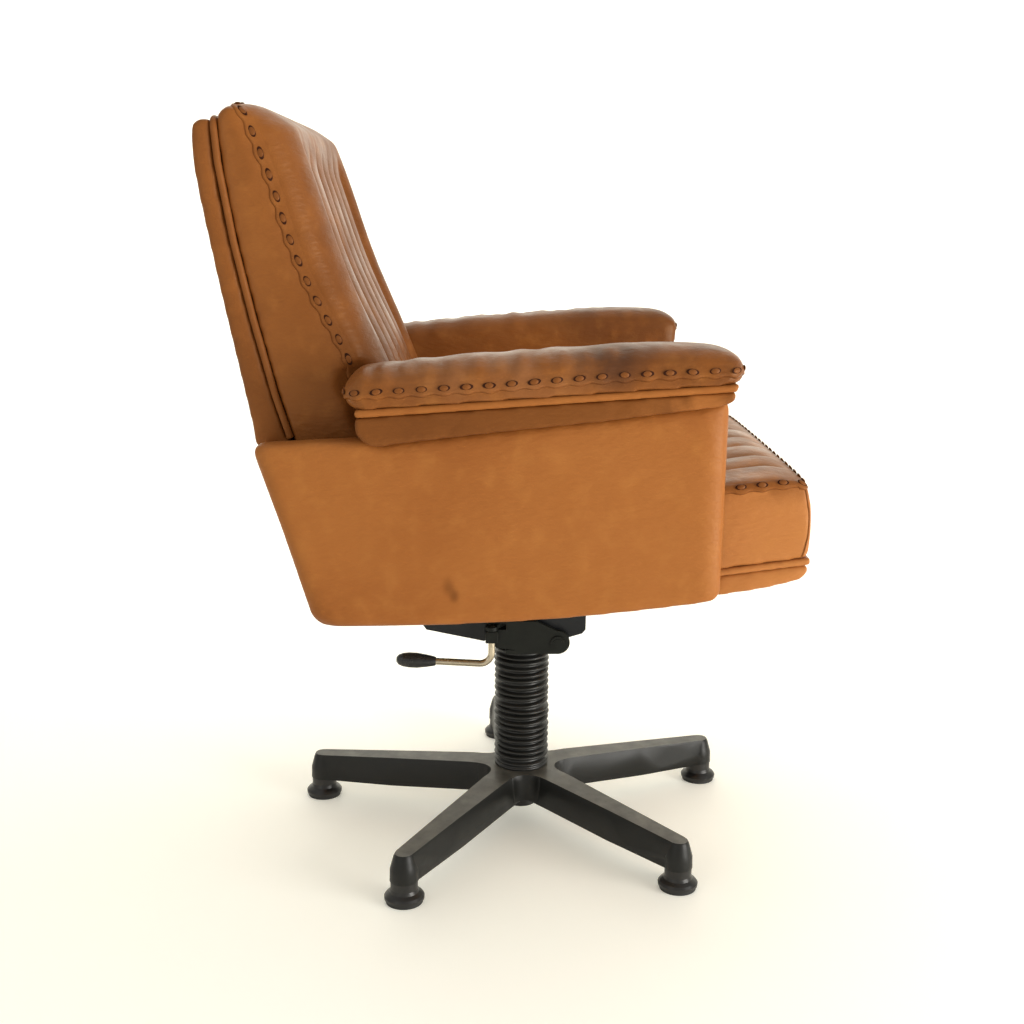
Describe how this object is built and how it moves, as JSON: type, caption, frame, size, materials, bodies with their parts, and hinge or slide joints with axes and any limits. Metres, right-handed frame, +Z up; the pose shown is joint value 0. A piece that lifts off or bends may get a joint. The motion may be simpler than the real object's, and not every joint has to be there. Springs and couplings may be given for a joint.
{
  "type": "swivel office chair",
  "caption": "Low-backed leather swivel armchair for an office on a cast star base, with a gas lift, a rearward tilt and a side lever under the seat.",
  "frame": {"origin": "on the floor, on the swivel axis at the centre of the star base", "axes": "+Z up, -Y towards the front of the seat, +X to the sitter's left"},
  "size_m": [0.72, 0.761, 1.031],
  "materials": {
    "base_metal": "satin",
    "black_plastic": "matte",
    "foot_rubber": "matte",
    "column_paint": "satin",
    "bush_plastic": "matte",
    "bearing_steel": "polished",
    "gaiter_rubber": "matte",
    "housing_paint": "satin",
    "pan_paint": "satin",
    "bright_steel": "satin",
    "buffer_rubber": "matte",
    "lever_nickel": "polished",
    "grip_plastic": "satin",
    "beech": "matte",
    "plywood": "matte",
    "bracket_steel": "satin",
    "leather_panel": "satin",
    "leather_pad": "satin",
    "leather_welt": "satin"
  },
  "bodies": {
    "base": {"base_star": "base_metal", "hub_cap": "black_plastic", "column_tube": "column_paint", "column_bush": "bush_plastic", "bearing_lower": "bearing_steel", "bearing_balls": "bearing_steel", "glide_1": "black_plastic", "glide_2": "black_plastic", "glide_3": "black_plastic", "glide_4": "black_plastic", "glide_5": "black_plastic", "glide_pad_1": "foot_rubber", "glide_pad_2": "foot_rubber", "glide_pad_3": "foot_rubber", "glide_pad_4": "foot_rubber", "glide_pad_5": "foot_rubber"},
    "spindle": {"piston_rod": "bearing_steel", "bearing_upper": "bearing_steel", "rod_clip": "bearing_steel", "gaiter": "gaiter_rubber"},
    "column": {"gas_cylinder": "column_paint", "tilt_housing": "housing_paint", "pivot_axle": "pan_paint", "axle_clips": "pan_paint", "lever_sleeve": "housing_paint", "stop_buffers": "buffer_rubber", "tilt_spring_left": "bright_steel", "tilt_spring_right": "bright_steel"},
    "release_pin": {"release_pin": "bearing_steel"},
    "lever": {"lever_rod": "lever_nickel", "lever_grip": "grip_plastic", "lever_cam": "housing_paint"},
    "seat": {"seat_pan": "pan_paint", "pivot_bushes": "bush_plastic", "pan_screws": "bright_steel", "bearer_front": "beech", "bearer_rear": "beech", "seat_board": "plywood", "panel_bolts": "bright_steel", "arm_bolts": "bright_steel", "rear_panel": "leather_panel", "back_shell": "leather_panel", "back_welt": "leather_welt", "seat_rail": "leather_panel", "seat_welt": "leather_welt", "side_panel_left": "leather_panel", "side_panel_right": "leather_panel", "arm_base_left": "leather_panel", "arm_base_right": "leather_panel", "arm_welt_left": "leather_welt", "arm_welt_right": "leather_welt", "arm_pad_left": "leather_pad", "arm_pad_right": "leather_pad", "back_bracket_left": "bracket_steel", "back_bracket_right": "bracket_steel", "seat_cushion": "leather_pad", "back_cushion": "leather_pad"}
  },
  "joints": [
    {"name": "swivel", "type": "hinge", "parent": "base", "child": "spindle", "pos_m": [0, 0, 0.041], "axis": [0, 0, 1], "continuous": true},
    {"name": "lift", "type": "slide", "parent": "spindle", "child": "column", "axis": [0, 0, 1], "range_m": [-0.08, 0], "deforming": ["gaiter"]},
    {"name": "tilt", "type": "hinge", "parent": "column", "child": "seat", "pos_m": [0, -0.051, 0.293], "axis": [-1, 0, 0], "range_deg": [0, 14], "stiffness_Nm_per_rad": 180, "springref_deg": -20.05, "deforming": ["tilt_spring_left", "tilt_spring_right"]},
    {"name": "lever_swing", "type": "hinge", "parent": "column", "child": "lever", "pos_m": [-0.067, 0.045, 0.299], "axis": [0, 0, 1], "range_deg": [0, 12], "stiffness_Nm_per_rad": 0.6, "springref_deg": -11.46},
    {"name": "pin_press", "type": "slide", "parent": "column", "child": "release_pin", "axis": [0, 0, 1], "range_m": [-0.003, 0]}
  ],
  "couplings": [
    {"joint": "pin_press", "follows": "lever_swing", "m_per_rad": -0.01432}
  ]
}
